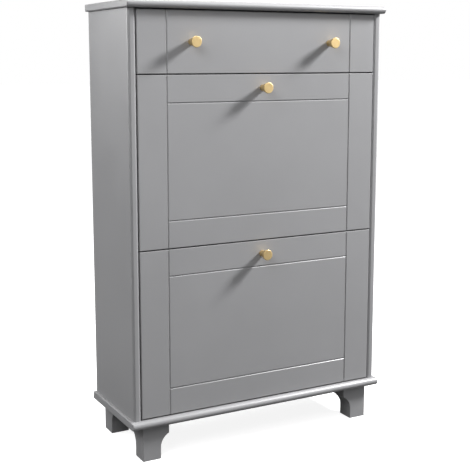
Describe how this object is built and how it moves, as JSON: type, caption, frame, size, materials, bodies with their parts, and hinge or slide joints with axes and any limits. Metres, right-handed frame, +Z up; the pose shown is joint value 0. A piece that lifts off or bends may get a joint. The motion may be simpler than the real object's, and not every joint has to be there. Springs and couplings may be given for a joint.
{
  "type": "shoe cabinet",
  "caption": "Tall narrow shoe cabinet on bracket feet with a shallow knobbed drawer on roller runners above tip-out flaps that hold rows of shoes.",
  "frame": {"origin": "on the floor, in the middle of the overall width and of the overall depth from the knob faces to the back of the top", "axes": "+X to the right seen from the front, +Y to the back, +Z up"},
  "size_m": [0.654, 0.264, 1],
  "materials": {
    "grey_lacquer": "satin grey lacquer on fibreboard",
    "grey_melamine": "matt grey foil on particle board",
    "hardboard_grey": "painted hardboard",
    "beech": "plain fluted dowel",
    "knob_brass": "brushed satin brass",
    "zinc_fitting": "zinc plated",
    "bright_nail": "bright steel",
    "steel_pin": "turned steel",
    "white_nylon": "moulded nylon",
    "white_steel": "white epoxy coating"
  },
  "bodies": {
    "carcass": {"back_panel": "hardboard_grey", "back_panel_nails": "bright_nail", "base_panel": "grey_lacquer", "cabinet_runner_screws": "zinc_fitting", "cam_fittings": "zinc_fitting", "dowels": "beech", "drawer_divider": "grey_lacquer", "flap_pivot_bushes": "white_nylon", "flap_stop_pins": "steel_pin", "foot_screws": "zinc_fitting", "front_left_foot": "grey_lacquer", "front_right_foot": "grey_lacquer", "left_cabinet_runner": "white_steel", "left_side_panel": "grey_lacquer", "middle_divider": "grey_lacquer", "rear_left_foot": "grey_lacquer", "rear_right_foot": "grey_lacquer", "right_cabinet_runner": "white_steel", "right_side_panel": "grey_lacquer", "top_panel": "grey_lacquer", "wall_bracket_screws": "zinc_fitting", "wall_brackets": "zinc_fitting"},
    "drawer": {"drawer_back": "grey_melamine", "drawer_back_screws": "zinc_fitting", "drawer_bottom": "hardboard_grey", "drawer_cam_fittings": "zinc_fitting", "drawer_front": "grey_lacquer", "drawer_knob_screws": "zinc_fitting", "drawer_knobs": "knob_brass", "drawer_runner_screws": "zinc_fitting", "left_drawer_runner": "white_steel", "left_drawer_side": "grey_melamine", "right_drawer_runner": "white_steel", "right_drawer_side": "grey_melamine"},
    "upper_flap": {"upper_flap_board_screws": "zinc_fitting", "upper_flap_cam_fittings": "zinc_fitting", "upper_flap_front": "grey_lacquer", "upper_flap_knob": "knob_brass", "upper_flap_knob_screw": "zinc_fitting", "upper_flap_left_cheek": "grey_melamine", "upper_flap_lower_shelf": "grey_melamine", "upper_flap_pivot_pins": "steel_pin", "upper_flap_rear_rails": "grey_melamine", "upper_flap_right_cheek": "grey_melamine", "upper_flap_upper_shelf": "grey_melamine"},
    "lower_flap": {"lower_flap_board_screws": "zinc_fitting", "lower_flap_cam_fittings": "zinc_fitting", "lower_flap_front": "grey_lacquer", "lower_flap_knob": "knob_brass", "lower_flap_knob_screw": "zinc_fitting", "lower_flap_left_cheek": "grey_melamine", "lower_flap_lower_shelf": "grey_melamine", "lower_flap_pivot_pins": "steel_pin", "lower_flap_rear_rails": "grey_melamine", "lower_flap_right_cheek": "grey_melamine", "lower_flap_upper_shelf": "grey_melamine"},
    "left_cabinet_roller": {"left_cabinet_roller": "white_nylon"},
    "right_cabinet_roller": {"right_cabinet_roller": "white_nylon"},
    "left_drawer_roller": {"left_drawer_roller": "white_nylon"},
    "right_drawer_roller": {"right_drawer_roller": "white_nylon"}
  },
  "joints": [
    {"name": "drawer_slide", "type": "slide", "parent": "carcass", "child": "drawer", "axis": [0, -1, 0], "range_m": [0, 0.15]},
    {"name": "upper_flap_tip", "type": "hinge", "parent": "carcass", "child": "upper_flap", "pos_m": [0, -0.097, 0.488], "axis": [1, 0, 0], "range_deg": [0, 42]},
    {"name": "lower_flap_tip", "type": "hinge", "parent": "carcass", "child": "lower_flap", "pos_m": [0, -0.097, 0.1135], "axis": [1, 0, 0], "range_deg": [0, 42]},
    {"name": "left_cabinet_roller_spin", "type": "hinge", "parent": "carcass", "child": "left_cabinet_roller", "pos_m": [-0.29555, -0.077, 0.89], "axis": [1, 0, 0], "continuous": true},
    {"name": "left_drawer_roller_spin", "type": "hinge", "parent": "drawer", "child": "left_drawer_roller", "pos_m": [-0.29555, 0.097, 0.89], "axis": [1, 0, 0], "continuous": true},
    {"name": "right_cabinet_roller_spin", "type": "hinge", "parent": "carcass", "child": "right_cabinet_roller", "pos_m": [0.29555, -0.077, 0.89], "axis": [1, 0, 0], "continuous": true},
    {"name": "right_drawer_roller_spin", "type": "hinge", "parent": "drawer", "child": "right_drawer_roller", "pos_m": [0.29555, 0.097, 0.89], "axis": [1, 0, 0], "continuous": true}
  ],
  "couplings": [
    {"joint": "left_cabinet_roller_spin", "follows": "drawer_slide", "rad_per_m": 100},
    {"joint": "left_drawer_roller_spin", "follows": "drawer_slide", "rad_per_m": 100},
    {"joint": "right_cabinet_roller_spin", "follows": "drawer_slide", "rad_per_m": 100},
    {"joint": "right_drawer_roller_spin", "follows": "drawer_slide", "rad_per_m": 100}
  ]
}
